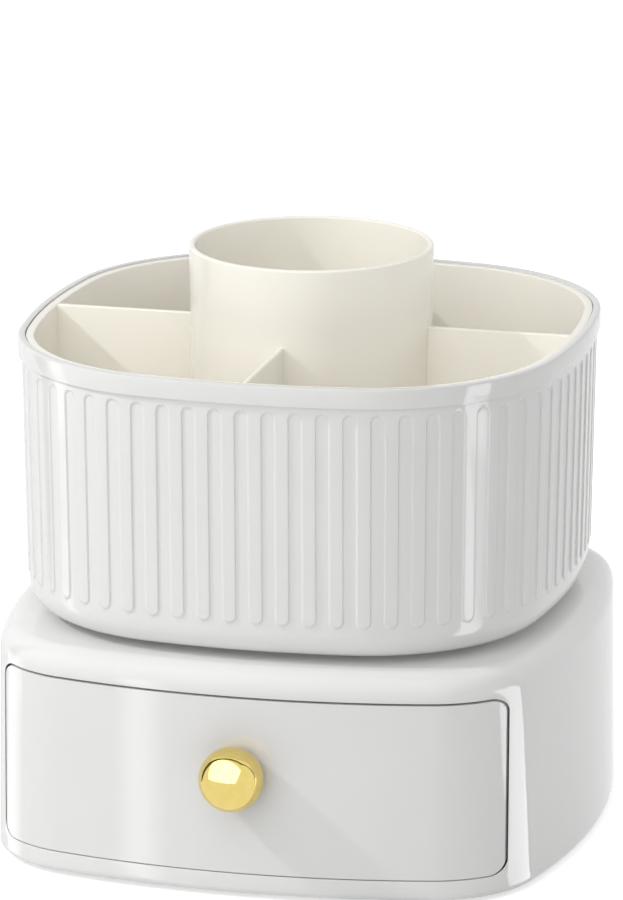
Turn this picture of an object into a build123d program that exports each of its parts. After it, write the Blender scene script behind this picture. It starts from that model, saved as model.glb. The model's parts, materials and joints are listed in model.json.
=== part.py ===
from build123d import *
import os
from math import cos, radians, sin, sqrt, tan

os.makedirs("parts", exist_ok=True)

# Rotating makeup organizer: a fluted tub with compartments and a brush cup turns on a
# ball ring, which sits in the top of a square-round base with one bow-fronted drawer.
# Millimetres, +Z up. Everything is modelled about the turntable axis, front at -Y, and
# moved at the end so that the origin is the bottom centre of the whole object's box.

# Base: plan outline at the bottom edge, as half width, corner radius and side bow radius
base_plan = (105.0, 40.7, 284.0)
base_draft = 0.7
base_bottom = 1.5
base_top = 81.7
base_wall = 2.4
base_top_round = 8.0
base_bottom_round = 2.5

# Bottom plate, its rubber pads and its screws
plate_low = 2.0
plate_thick = 2.5
plate_gap = 0.4
pad_radius = 7.0
pad_seat_depth = 0.8
pad_place = 71.0
boss_x = 95.2
boss_y = 40.0
boss_radius = 3.4

# Drawer front, which carries on the curve of the base
front_half = 90.0
front_low = 9.8
front_top = 72.1
front_corner = 4.5
front_thick = 3.0
front_seam = 0.8
front_cut_depth = 40.0

# Drawer tray behind the front
tray_half = 78.5
tray_back = 84.0
tray_corner = 9.0
tray_low = 10.5
tray_top = 62.0
tray_wall = 2.0
tray_floor = 2.2
tray_inner_round = 3.0

# Guide ribs on the tray, the runners that hold them, and the stops
guide_low = 21.5
guide_high = 24.5
guide_reach = 2.6
guide_front = -58.0
runner_gap = 0.6
runner_lip = 2.3
runner_lip_thick = 1.8
runner_play = 0.3
runner_web = 2.2
runner_high = 50.0
runner_flange = 7.6
runner_flange_thick = 2.4
runner_front = -66.0
runner_back = 66.0
runner_screw_y = 48.0
runner_boss_radius = 3.6
runner_boss_high = 7.0
stop_low = 38.0
stop_high = 45.0
stop_thick = 3.0
stop_reach = 2.0
drawer_travel = 115.0
stop_play = 0.5

# Screws that join the tray to the front
post_x = 52.0
post_z = (22.0, 52.0)
post_radius = 3.0
post_seat_radius = 5.2
post_length = 6.6
post_play = 0.1

# Ball knob
knob_radius = 11.4
knob_height = 45.5
knob_centre_out = 7.6
knob_screw_radius = 2.0
knob_screw_hole = 2.2
knob_thread_depth = 8.0
knob_washer_radius = 4.8
knob_washer_thick = 0.8
knob_seat_radius = 6.0
knob_seat_stand = 3.4

# Self-tapping screws
tap_radius = 1.25
tap_head_radius = 2.8
tap_head_high = 1.7
pan_head_radius = 4.0
pan_head_high = 2.2
tap_bite = 6.0

# Turntable well and ball ring
well_radius = 77.0
well_floor = 73.0
well_floor_thick = 2.4
race_inner = 55.0
race_outer = 74.0
race_thick = 3.4
race_screw_circle = 69.5
race_screws = 4
race_boss_radius = 3.6
race_boss_drop = 6.0
ball_radius = 2.5
ball_play = 0.05
ball_circle = 62.0
ball_count = 16
race_gap = 3.0
cage_thick = 1.8
cage_half_width = 4.6
cage_hole_play = 0.3

# Pivot through the middle of the turntable
pivot_radius = 3.0
pivot_play = 0.05
pivot_head_flat = 10.0
pivot_head_high = 4.0
pivot_head_play = 0.1
hub_radius = 10.0
hub_pocket_drop = 7.0
hub_gap = 0.4
bush_wall = 2.0
bush_flange_radius = 7.5
bush_flange_thick = 1.2
washer_radius = 7.0
washer_thick = 1.0
nut_high = 5.0
pivot_tip = 1.0

# Tub: plan outline at the rim, and the levels of its outside
rim_plan = (99.2, 69.0, 258.2)
tub_draft = 1.1
tub_bottom = 84.8
tub_bottom_round = 9.5
rim_top = 182.6
rim_band = 7.0
rim_step = 1.2
rim_round = 0.9
tub_wall = 2.2
tub_floor = 2.6

# Flutes: raised ribs that hang from the upper band and end in round feet
flute_count = 68
flute_depth = 0.6
rib_share = 0.5
rib_foot = 97.0
groove_top = 173.0
foot_ease = 0.12
skin_bite = 0.5

# Ivory liner inside the tub
liner_gap = 0.3
liner_wall = 1.6
liner_floor = 2.0
liner_lift = 4.1
liner_hole = 15.0
flange_width = 1.3
flange_thick = 1.6
flange_drop = 0.5
rebate_play = 0.3
liner_inner_round = 3.0

# Brush cup in the middle, and the four dividers between it and the liner
cup_rim_radius = 43.3
cup_top = 209.8
cup_draft = 1.0
cup_wall = 2.2
cup_floor_low = 101.5
cup_floor = 2.4
cup_edge_round = 0.9
spigot_high = 4.0
spigot_wall = 2.0
spigot_play = 0.2
divider_thick = 2.0
divider_top = 182.0
divider_round = 0.7

# Levels that follow from the sizes above
plate_high = plate_low + plate_thick
race_floor = well_floor + race_thick
ball_level = race_floor + race_gap / 2
upper_race_low = race_floor + race_gap
upper_race_high = upper_race_low + race_thick
groove_radius = ball_radius + ball_play
hub_top = upper_race_low + hub_gap
tub_hub_low = hub_top + hub_gap
tub_inside = tub_bottom + tub_floor
liner_low = tub_inside + liner_lift
liner_inside = liner_low + liner_floor
bush_low = tub_hub_low
bush_high = liner_low
band_low = rim_top - rim_band
pivot_head_low = well_floor - well_floor_thick - hub_pocket_drop + pivot_head_play
washer_low = bush_high + bush_flange_thick + pivot_play
nut_low = washer_low + washer_thick
pivot_end = nut_low + nut_high + pivot_tip
guide_side = tray_half + guide_reach
runner_inner = guide_side + runner_gap
runner_outer = runner_inner + runner_web
cup_foot_radius = cup_rim_radius - (cup_top - liner_inside) * tan(radians(cup_draft))


def shrink(plan, by):
    """The same outline moved inward by a distance."""
    return tuple(size - by for size in plan)


def plan_face(plan, level):
    """A square with bowed sides and round corners, all arcs tangent to each other."""
    half, corner, bow = plan
    reach = bow - half
    centre = (sqrt(2 * (bow - corner) ** 2 - reach ** 2) - reach) / 2
    lean = centre / (bow - corner)
    side_y = bow * lean
    side_x = bow * sqrt(1 - lean ** 2) - reach
    middle = centre + corner / sqrt(2)
    edges = []
    for quarter in range(4):
        turn = Rot(0, 0, 90 * quarter)
        edges.append(turn * ThreePointArc((side_x, -side_y), (half, 0), (side_x, side_y)))
        edges.append(turn * ThreePointArc((side_x, side_y), (middle, middle), (side_y, side_x)))
    return Pos(0, 0, level) * make_face(edges)


def tapered(plan, low, high, draft):
    """A solid on the outline at its low level that widens upward by the draft angle."""
    return extrude(plan_face(plan, low), amount=high - low, dir=(0, 0, 1), taper=-draft)


def disc(radius, low, high, x=0.0, y=0.0):
    """An upright cylinder between two levels."""
    return Pos(x, y, (low + high) / 2) * Cylinder(radius, high - low)


def ring(inner, outer, low, high, x=0.0, y=0.0):
    """An upright tube between two levels."""
    return disc(outer, low, high, x, y) - disc(inner, low - 1, high + 1, x, y)


def slab(x_range, y_range, z_range):
    """A box between three pairs of limits."""
    sizes = [high - low for low, high in (x_range, y_range, z_range)]
    middle = [(high + low) / 2 for low, high in (x_range, y_range, z_range)]
    return Pos(*middle) * Box(*sizes)


def on_circle(radius, count, start=45.0):
    """Points evenly spaced round the turntable axis."""
    angles = [radians(start + 360 * index / count) for index in range(count)]
    return [(radius * cos(angle), radius * sin(angle)) for angle in angles]


def four_places(x, y):
    """The same place in each quarter of the base."""
    return [(x, y), (-x, y), (-x, -y), (x, -y)]


def countersunk(x, y, head_level, length, up):
    """A countersunk self-tapping screw whose head is flush at head_level."""
    way = 1 if up else -1
    cone = Cone(tap_head_radius, tap_radius, tap_head_high) if up else Cone(
        tap_radius, tap_head_radius, tap_head_high)
    head = Pos(x, y, head_level + way * tap_head_high / 2) * cone
    levels = sorted((head_level + way * tap_head_high / 2, head_level + way * length))
    return head + disc(tap_radius, levels[0], levels[1], x, y)


def base_outer(inset, low, high):
    """The outside of the base moved inward, between two levels."""
    grow = (low - base_bottom) * tan(radians(base_draft))
    return tapered(shrink(base_plan, inset + grow), low, high, -base_draft)


def front_window(margin, depth):
    """The rounded rectangle of the drawer front, cut through the front of the base."""
    width = 2 * (front_half + margin)
    height = front_top - front_low + 2 * margin
    middle = (front_top + front_low) / 2
    outline = RectangleRounded(width, height, front_corner + margin)
    start = -base_plan[0] - 2
    return extrude(Plane.XZ.offset(-start) * Pos(0, middle) * outline, amount=-depth)


def base_shell():
    """Moulded housing: open bottom, window for the drawer and a round well in its top."""
    outer = base_outer(0, base_bottom, base_top)
    outer = fillet(outer.edges().group_by(Axis.Z)[-1], base_top_round)
    outer = fillet(outer.edges().group_by(Axis.Z)[0], base_bottom_round)
    inner = base_outer(base_wall, base_bottom - 1, base_top - base_wall)
    inner = fillet(inner.edges().group_by(Axis.Z)[-1], base_top_round - base_wall)
    shell = outer - inner
    floor_low = well_floor - well_floor_thick
    shell += disc(well_radius + base_wall, floor_low, base_top - base_wall / 2)
    for x, y in on_circle(race_screw_circle, race_screws):
        shell += disc(race_boss_radius, floor_low - race_boss_drop, well_floor, x, y)
    shell += disc(hub_radius, floor_low - hub_pocket_drop, well_floor)
    shell -= disc(well_radius, well_floor, base_top + 1)
    shell += disc(hub_radius, well_floor, hub_top)
    head = RegularPolygon(pivot_head_flat / 2 + pivot_head_play, 6, major_radius=False)
    pocket_low = floor_low - hub_pocket_drop - 1
    shell -= extrude(Pos(0, 0, pocket_low) * head, amount=1 + 2 * pivot_head_play + pivot_head_high)
    shell -= disc(pivot_radius + pivot_head_play, pocket_low, hub_top + 1)
    for x, y in on_circle(race_screw_circle, race_screws):
        shell -= disc(tap_radius, well_floor - tap_bite, well_floor + 1, x, y)
    for x, y in four_places(boss_x, boss_y):
        web = slab(sorted((x, x * (1 + 1.2 * boss_radius / boss_x))),
                   (y - base_wall / 2, y + base_wall / 2), (plate_high, base_top - base_wall))
        shell += (disc(boss_radius, plate_high, base_top - base_wall, x, y) + web) & outer
    for x, y in four_places(boss_x, boss_y):
        shell -= disc(tap_radius, plate_high - 1, plate_high + 2 * tap_bite, x, y)
    return shell - front_window(front_seam, front_cut_depth)


def bottom_plate():
    """Plate that closes the base from below, with seats for the pads and screws."""
    plate = base_outer(base_wall + plate_gap, plate_low, plate_high)
    for x, y in four_places(pad_place, pad_place):
        plate -= disc(pad_radius, plate_low - 1, plate_low + pad_seat_depth, x, y)
    for x, y in four_places(boss_x, boss_y) + runner_screw_places():
        plate -= countersunk(x, y, plate_low, plate_thick + 1, up=True)
    return plate


def runner_screw_places():
    return four_places(runner_outer + runner_flange / 2, runner_screw_y)


def foot_pads():
    pads = []
    for x, y in four_places(pad_place, pad_place):
        pad = disc(pad_radius, 0, plate_low + pad_seat_depth, x, y)
        pads.append(fillet(pad.edges().group_by(Axis.Z)[0], plate_low / 3))
    return pads


def plate_screws():
    return [countersunk(x, y, plate_low, plate_thick + 2 * tap_bite - 1, up=True)
            for x, y in four_places(boss_x, boss_y)]


def runner_screw_set():
    length = plate_thick + runner_boss_high - 1
    return [countersunk(x, y, plate_low, length, up=True) for x, y in runner_screw_places()]


def runner(side):
    """L-shaped rail: a flange on the bottom plate, a web, two lips and a stop post."""
    span = (runner_front, runner_back)
    rail = slab((runner_inner, runner_outer), span, (plate_high, runner_high))
    rail += slab((runner_inner, runner_outer + runner_flange), span,
                 (plate_high, plate_high + runner_flange_thick))
    lip_inner = runner_inner - runner_lip
    below = guide_low - runner_play
    above = guide_high + runner_play
    rail += slab((lip_inner, runner_outer), span, (below - runner_lip_thick, below))
    rail += slab((lip_inner, runner_outer), span, (above, above + runner_lip_thick))
    post_back = runner_front + stop_thick
    rail += slab((runner_inner - stop_reach, runner_outer), (runner_front, post_back),
                 (stop_low, stop_high))
    middle = runner_outer + runner_flange / 2
    for y in (runner_screw_y, -runner_screw_y):
        rail += disc(runner_boss_radius, plate_high, plate_high + runner_boss_high, middle, y)
        rail -= disc(tap_radius, plate_high - 1, plate_high + runner_boss_high + 1, middle, y)
    return rail if side > 0 else mirror(rail, about=Plane.YZ)


def post_places():
    return [(x, z) for x in (-post_x, post_x) for z in post_z]


def front_inner_y(x):
    """How far forward the inner face of the drawer front lies at a distance from the middle."""
    bow = base_plan[2] - front_thick
    return -(base_plan[0] - base_plan[2] + sqrt(bow ** 2 - x ** 2))


def along_y(radius, front, back, x, z):
    """A cylinder along Y between two depths."""
    return Pos(x, (front + back) / 2, z) * Rot(90, 0, 0) * Cylinder(radius, back - front)


post_end = front_inner_y(post_x) + post_length
knob_seat = front_inner_y(0) + knob_seat_stand


def drawer_front():
    """Bowed fascia that fills the window, with four posts for the tray's screws."""
    panel = base_outer(0, base_bottom, base_top) & front_window(0, front_cut_depth - 1)
    panel -= base_outer(front_thick, base_bottom - 1, base_top + 1)
    inside = base_outer(front_thick / 2, base_bottom, base_top)
    for x, z in post_places():
        post = along_y(post_radius, -base_plan[0], post_end, x, z)
        panel += post & inside
        panel -= along_y(tap_radius, front_inner_y(x) - front_thick / 3, post_end + 1, x, z)
    return panel - along_y(knob_screw_hole, -base_plan[0] - 1, 0, 0, knob_height)


def tray_block(inset, low, high):
    """The tray's plan: straight sides and back, and a front that follows the fascia."""
    length = base_plan[0] + tray_back
    outline = Rectangle(2 * (tray_half - inset), 2 * length)
    outline = fillet(outline.vertices(), tray_corner - inset)
    middle = tray_back - inset - length
    block = extrude(Pos(0, middle, low) * outline, amount=high - low)
    return block & base_outer(front_thick + inset, low, high)


def drawer_tray():
    """Open tray with guide ribs, stop lugs and flat seats for its screws."""
    cavity = tray_block(tray_wall, tray_low + tray_floor, tray_top + 1)
    cavity = fillet(cavity.edges().group_by(Axis.Z)[0], tray_inner_round)
    tray = tray_block(0, tray_low, tray_top) - cavity
    for side in (-1, 1):
        reach = sorted((side * (tray_half - tray_wall / 2), side * guide_side))
        tray += slab(reach, (guide_front, tray_back - tray_corner), (guide_low, guide_high))
        lug_front = runner_front + stop_thick + drawer_travel + stop_play
        reach = sorted((side * (tray_half - tray_wall / 2), side * (runner_inner - stop_play)))
        tray += slab(reach, (lug_front, lug_front + stop_thick), (stop_low, stop_high))
    inside = tray_block(tray_wall / 2, tray_low, tray_top)
    for x, z in post_places():
        seat = along_y(post_seat_radius, -base_plan[0], post_end, x, z)
        tray += seat & inside
        tray -= along_y(post_radius + post_play, -base_plan[0], post_end + 1, x, z)
    tray += along_y(knob_seat_radius, -base_plan[0], knob_seat, 0, knob_height) & inside
    return tray - along_y(knob_screw_hole, -base_plan[0], knob_seat + 1, 0, knob_height)


def front_screws():
    screws = []
    for x, z in post_places():
        head = along_y(pan_head_radius, post_end, post_end + pan_head_high, x, z)
        head = fillet(head.edges().group_by(Axis.Y)[-1], pan_head_high / 3)
        tip = front_inner_y(x) + tap_radius
        screws.append(head + along_y(tap_radius, tip, post_end, x, z))
    return screws


def knob_face_y():
    """The outer face of the drawer front at the knob's height."""
    return -base_plan[0] + (knob_height - base_bottom) * tan(radians(base_draft))


def drawer_knob():
    """Ball with a flat back that lies against the bowed front, and a threaded hole."""
    centre = knob_face_y() - knob_centre_out
    ball = Pos(0, centre, knob_height) * Sphere(knob_radius)
    ball -= base_outer(0, base_bottom, base_top)
    thread_end = knob_face_y() - knob_thread_depth
    return ball - along_y(knob_screw_radius, thread_end, 0, 0, knob_height)


def knob_washer():
    ring_face = along_y(knob_washer_radius, knob_seat, knob_seat + knob_washer_thick, 0, knob_height)
    return ring_face - along_y(knob_screw_hole, -base_plan[0], 0, 0, knob_height)


def knob_screw():
    head_front = knob_seat + knob_washer_thick
    head = along_y(pan_head_radius, head_front, head_front + pan_head_high, 0, knob_height)
    head = fillet(head.edges().group_by(Axis.Y)[-1], pan_head_high / 3)
    tip = knob_face_y() - knob_thread_depth + 1
    return head + along_y(knob_screw_radius, tip, head_front, 0, knob_height)


def race(low):
    """Flat ring with countersunk holes; the ball groove is cut by the caller."""
    return ring(race_inner, race_outer, low, low + race_thick)


def ball_groove():
    return Pos(0, 0, ball_level) * Torus(ball_circle, groove_radius)


def lower_race():
    track = race(well_floor) - ball_groove()
    for screw in lower_race_screws():
        track -= screw
    return track


def upper_race():
    track = race(upper_race_low) - ball_groove()
    for screw in upper_race_screws():
        track -= screw
    return track


def lower_race_screws():
    length = race_thick + tap_bite - 1
    return [countersunk(x, y, race_floor, length, up=False)
            for x, y in on_circle(race_screw_circle, race_screws)]


def upper_race_screws():
    length = race_thick + tap_bite - 1
    return [countersunk(x, y, upper_race_low, length, up=True)
            for x, y in on_circle(race_screw_circle, race_screws)]


def ball_cage():
    low = ball_level - cage_thick / 2
    cage = ring(ball_circle - cage_half_width, ball_circle + cage_half_width, low, low + cage_thick)
    for x, y in on_circle(ball_circle, ball_count, start=0):
        cage -= disc(ball_radius + cage_hole_play, low - 1, low + cage_thick + 1, x, y)
    return cage


def bearing_balls():
    return [Pos(x, y, ball_level) * Sphere(ball_radius)
            for x, y in on_circle(ball_circle, ball_count, start=0)]


def pivot_bolt():
    head = RegularPolygon(pivot_head_flat / 2, 6, major_radius=False)
    bolt = extrude(Pos(0, 0, pivot_head_low) * head, amount=pivot_head_high)
    bolt += disc(pivot_radius, pivot_head_low, pivot_end)
    return chamfer(bolt.edges().group_by(Axis.Z)[-1], pivot_tip / 2)


def pivot_bush():
    bush = disc(pivot_radius + pivot_play + bush_wall, bush_low, bush_high)
    bush += disc(bush_flange_radius, bush_high, bush_high + bush_flange_thick)
    return bush - disc(pivot_radius + pivot_play, bush_low - 1, bush_high + bush_flange_thick + 1)


def pivot_washer():
    return ring(pivot_radius, washer_radius, washer_low, washer_low + washer_thick)


def pivot_nut():
    face = RegularPolygon(pivot_head_flat / 2, 6, major_radius=False)
    nut = extrude(Pos(0, 0, nut_low) * face, amount=nut_high)
    return nut - disc(pivot_radius, nut_low - 1, nut_low + nut_high + 1)


def tub_plan(inset, level):
    """The tub's wall outline at a level: the rim outline less the step and the draft."""
    return shrink(rim_plan, rim_step + inset + (band_low - level) * tan(radians(tub_draft)))


def tub_outer(inset, low, high):
    return tapered(tub_plan(inset, low), low, high, tub_draft)


def flute_places():
    """Evenly spaced locations round the wall, a groove centred on the front.

    Each location's X runs along the wall and its Z points outward."""
    path = plan_face(tub_plan(flute_depth, rib_foot), rib_foot).face().outer_wire()
    start = path.param_at_point(Vector(0, -tub_plan(flute_depth, rib_foot)[0], rib_foot))
    places = []
    for index in range(flute_count):
        along = (start + index / flute_count) % 1
        point = path.position_at(along)
        tangent = path.tangent_at(along)
        places.append((point, tangent))
    return places, path.length / flute_count


def standing_plane(point, tangent):
    """A vertical plane whose normal points out of the wall, with its X level."""
    outward = tangent.cross(Vector(0, 0, 1))
    return Plane(origin=(point.X, point.Y, 0), x_dir=tangent, z_dir=outward)


def flutes():
    """The skin of ribs: round-topped grooves between them and a round foot on each."""
    grooves, pitch = flute_places()
    rib_width = pitch * rib_share
    groove_half = (pitch - rib_width) / 2
    foot_radius = rib_width / 2 + foot_ease
    foot_level = rib_foot + foot_radius
    skin_low = rib_foot - skin_bite
    skin = tub_outer(0, skin_low, band_low) - tub_outer(flute_depth + skin_bite, skin_low, band_low)
    groove_high = groove_top - groove_half
    column = Pos(0, (skin_low + groove_high) / 2 - 1) * Rectangle(
        2 * groove_half, groove_high - skin_low + 2)
    groove_shape = column + Pos(0, groove_high) * Circle(groove_half)
    under = Pos(0, (skin_low + foot_level) / 2 - 1) * Rectangle(
        pitch, foot_level - skin_low + 2)
    foot_shape = under - Pos(0, foot_level) * Circle(foot_radius)
    cut_depth = 4 * (flute_depth + skin_bite)
    cutters = []
    for index, (point, tangent) in enumerate(grooves):
        cutters.append(extrude(standing_plane(point, tangent) * groove_shape,
                               amount=cut_depth, both=True))
        after, turn = grooves[(index + 1) % flute_count]
        middle = (point + after) * 0.5
        foot_plane = standing_plane(middle, (tangent + turn).normalized())
        cutters.append(extrude(foot_plane * foot_shape, amount=cut_depth, both=True))
    return skin - cutters


def tub_shell():
    """Fluted outer tub with a rim band, a rebate for the liner and a hub in its floor."""
    body = tub_outer(flute_depth, tub_bottom, band_low + 1)
    body = fillet(body.edges().group_by(Axis.Z)[0], tub_bottom_round)
    body += flutes()
    rim = tapered(rim_plan, band_low, rim_top, 0.01)
    rim = fillet(rim.edges().group_by(Axis.Z)[-1], rim_round)
    body += rim
    cavity = tub_outer(flute_depth + tub_wall, tub_inside, rim_top + 1)
    cavity = fillet(cavity.edges().group_by(Axis.Z)[0], tub_bottom_round - tub_floor)
    body -= cavity
    rebate_low = rim_top - flange_drop - flange_thick
    rebate_inset = liner_outer_inset() - flange_width - rebate_play
    body -= tub_outer(rebate_inset, rebate_low, rim_top + 1)
    body += disc(race_outer, upper_race_high, tub_bottom + 1)
    body -= disc(race_inner, upper_race_high - 1, tub_bottom)
    for x, y in on_circle(race_screw_circle, race_screws):
        body += disc(race_boss_radius, tub_inside - 1, liner_low, x, y)
        body -= disc(tap_radius, upper_race_high - 1, upper_race_high + tap_bite, x, y)
    body += disc(hub_radius, tub_hub_low, bush_high)
    return body - disc(pivot_radius + pivot_play + bush_wall, tub_hub_low - 1, bush_high + 1)


def liner_outer_inset():
    return flute_depth + tub_wall + liner_gap


def compartment_liner():
    """Thin ivory tray that lines the tub and hangs on its flange in the rim's rebate."""
    inset = liner_outer_inset()
    flange_high = rim_top - flange_drop
    body = tub_outer(inset, liner_low, flange_high)
    body = fillet(body.edges().group_by(Axis.Z)[0], liner_inner_round + liner_wall)
    body += tub_outer(inset - flange_width, flange_high - flange_thick, flange_high)
    cavity = liner_cavity(liner_inside, rim_top + 1)
    body -= fillet(cavity.edges().group_by(Axis.Z)[0], liner_inner_round)
    spigot = spigot_radius()
    body += ring(spigot - spigot_wall, spigot, liner_inside - 1, liner_inside + spigot_high)
    return body - disc(liner_hole, liner_low - 1, liner_inside + 1)


def liner_cavity(low, high):
    return tub_outer(liner_outer_inset() + liner_wall, low, high)


def spigot_radius():
    return cup_foot_radius - cup_wall - spigot_play


def cup_outer():
    """The tapered outside of the brush cup."""
    return Pos(0, 0, (cup_top + liner_inside) / 2) * Cone(
        cup_foot_radius, cup_rim_radius, cup_top - liner_inside)


def brush_cup():
    """Round cup on a skirt; its floor stands clear of the pivot nut."""
    height = cup_top - cup_floor_low - cup_floor
    slope = tan(radians(cup_draft))
    floor_top = cup_floor_low + cup_floor
    inner_low = cup_foot_radius + (floor_top - liner_inside) * slope - cup_wall
    inside = Pos(0, 0, (cup_top + floor_top) / 2) * Cone(
        inner_low, cup_rim_radius - cup_wall, height)
    inside = fillet(inside.edges().group_by(Axis.Z)[0], liner_inner_round)
    skirt = disc(cup_foot_radius - cup_wall, liner_inside - 1, cup_floor_low)
    cup = cup_outer() - inside - skirt
    return fillet(cup.edges().group_by(Axis.Z)[-1], cup_edge_round)


def divider(turn):
    """Upright vane from the cup to the liner's wall, trimmed by both."""
    reach = rim_plan[0]
    vane = slab((0, reach), (-divider_thick / 2, divider_thick / 2), (liner_inside, divider_top))
    top = vane.edges().group_by(Axis.Z)[-1].filter_by(Axis.X)
    vane = Rot(0, 0, turn) * fillet(top, divider_round)
    cavity = liner_cavity(liner_inside, rim_top)
    cavity = fillet(cavity.edges().group_by(Axis.Z)[0], liner_inner_round)
    return (vane & cavity) - cup_outer()


# The knob stands out in front, so the box's middle lies ahead of the turntable axis
front_reach = -knob_face_y() + knob_centre_out + knob_radius
axis_y = (front_reach - base_plan[0]) / 2

nodes = {
    "base_shell": base_shell,
    "bottom_plate": bottom_plate,
    "foot_pads": foot_pads,
    "plate_screws": plate_screws,
    "runner_right": lambda: runner(1),
    "runner_left": lambda: runner(-1),
    "runner_screws": runner_screw_set,
    "drawer_front": drawer_front,
    "drawer_tray": drawer_tray,
    "front_screws": front_screws,
    "drawer_knob": drawer_knob,
    "knob_washer": knob_washer,
    "knob_screw": knob_screw,
    "lower_race": lower_race,
    "lower_race_screws": lower_race_screws,
    "ball_cage": ball_cage,
    "bearing_balls": bearing_balls,
    "upper_race": upper_race,
    "upper_race_screws": upper_race_screws,
    "pivot_bolt": pivot_bolt,
    "pivot_bush": pivot_bush,
    "pivot_washer": pivot_washer,
    "pivot_nut": pivot_nut,
    "tub_shell": tub_shell,
    "compartment_liner": compartment_liner,
    "brush_cup": brush_cup,
    "divider_right": lambda: divider(0),
    "divider_back": lambda: divider(90),
    "divider_left": lambda: divider(180),
    "divider_front": lambda: divider(270),
}

for name, make in nodes.items():
    made = make()
    pieces = made if isinstance(made, list) else [made]
    solids = [solid for piece in pieces for solid in piece.solids()]
    placed = [Pos(0, axis_y, 0) * solid for solid in solids]
    export_step(placed[0] if len(placed) == 1 else Compound(children=placed), f"parts/{name}.step")

print(f"turntable axis at y = {axis_y:.3f} mm")
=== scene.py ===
from math import asin, cos, degrees, hypot, pi, radians, sin, sqrt, tan

import bmesh
import bpy
from mathutils import Matrix, Vector
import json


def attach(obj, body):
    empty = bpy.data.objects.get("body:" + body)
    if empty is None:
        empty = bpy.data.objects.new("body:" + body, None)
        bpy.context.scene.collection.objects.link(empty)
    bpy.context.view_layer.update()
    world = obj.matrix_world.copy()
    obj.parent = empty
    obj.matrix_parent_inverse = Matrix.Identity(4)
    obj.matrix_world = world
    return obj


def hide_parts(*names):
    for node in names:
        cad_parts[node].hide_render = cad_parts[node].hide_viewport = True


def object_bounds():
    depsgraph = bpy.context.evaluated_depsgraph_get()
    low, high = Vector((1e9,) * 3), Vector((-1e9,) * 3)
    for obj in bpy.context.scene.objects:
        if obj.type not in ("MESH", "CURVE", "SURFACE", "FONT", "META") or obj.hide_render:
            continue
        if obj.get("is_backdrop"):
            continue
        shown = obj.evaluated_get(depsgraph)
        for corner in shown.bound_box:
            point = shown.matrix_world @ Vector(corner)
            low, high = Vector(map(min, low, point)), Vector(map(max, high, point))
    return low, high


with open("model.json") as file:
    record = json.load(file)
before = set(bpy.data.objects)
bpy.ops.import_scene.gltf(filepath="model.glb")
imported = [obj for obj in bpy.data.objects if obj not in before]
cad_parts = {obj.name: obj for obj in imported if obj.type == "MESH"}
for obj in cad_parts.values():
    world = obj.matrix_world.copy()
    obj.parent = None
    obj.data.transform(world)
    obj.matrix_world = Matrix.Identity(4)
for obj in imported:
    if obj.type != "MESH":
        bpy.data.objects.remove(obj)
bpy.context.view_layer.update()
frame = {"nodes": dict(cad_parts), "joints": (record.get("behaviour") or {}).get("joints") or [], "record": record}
print("frame loaded:", len(frame["nodes"]), "nodes")

mm = 0.001
joints = {joint["name"]: joint for joint in frame["joints"]}
axisY = joints["tub_spin"]["pos_m"][1]  # the turntable axis lies behind the middle of the whole


def linear(hexColour):
    channels = [int(hexColour[place:place + 2], 16) / 255 for place in (1, 3, 5)]
    return [value / 12.92 if value <= 0.04045 else ((value + 0.055) / 1.055) ** 2.4
            for value in channels] + [1.0]


def addNode(tree, kind, settings=None, links=None):
    # sockets are given by name or number, and other names are the node's own settings
    node = tree.nodes.new(kind)
    for name, value in (settings or {}).items():
        if isinstance(name, int) or name in node.inputs:
            node.inputs[name].default_value = value
        else:
            setattr(node, name, value)
    for name, source in (links or {}).items():
        tree.links.new(source, node.inputs[name])
    return node


def newMaterial(name):
    material = bpy.data.materials.new(name)
    material.use_nodes = True
    tree = material.node_tree
    tree.nodes.clear()
    return material, tree


def mottle(tree, place, size, low, high, detail=2.0):
    # slow change between two values, with spots of about the given size in millimetres
    noise = addNode(tree, "ShaderNodeTexNoise", {"Scale": 1 / (size * mm), "Detail": detail},
                    {"Vector": place})
    return addNode(tree, "ShaderNodeMapRange", {"To Min": low, "To Max": high},
                   {"Value": noise.outputs["Fac"]}).outputs["Result"]


def relief(tree, place, size, height, detail, under):
    # surface relief over what lies under it: spots of a size in millimetres and a height in micrometres
    noise = addNode(tree, "ShaderNodeTexNoise", {"Scale": 1 / (size * mm), "Detail": detail},
                    {"Vector": place})
    links = {"Height": noise.outputs["Fac"]}
    if under:
        links["Normal"] = under
    return addNode(tree, "ShaderNodeBump", {"Strength": 1.0, "Distance": height * 1e-6},
                   links).outputs["Normal"]


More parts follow.
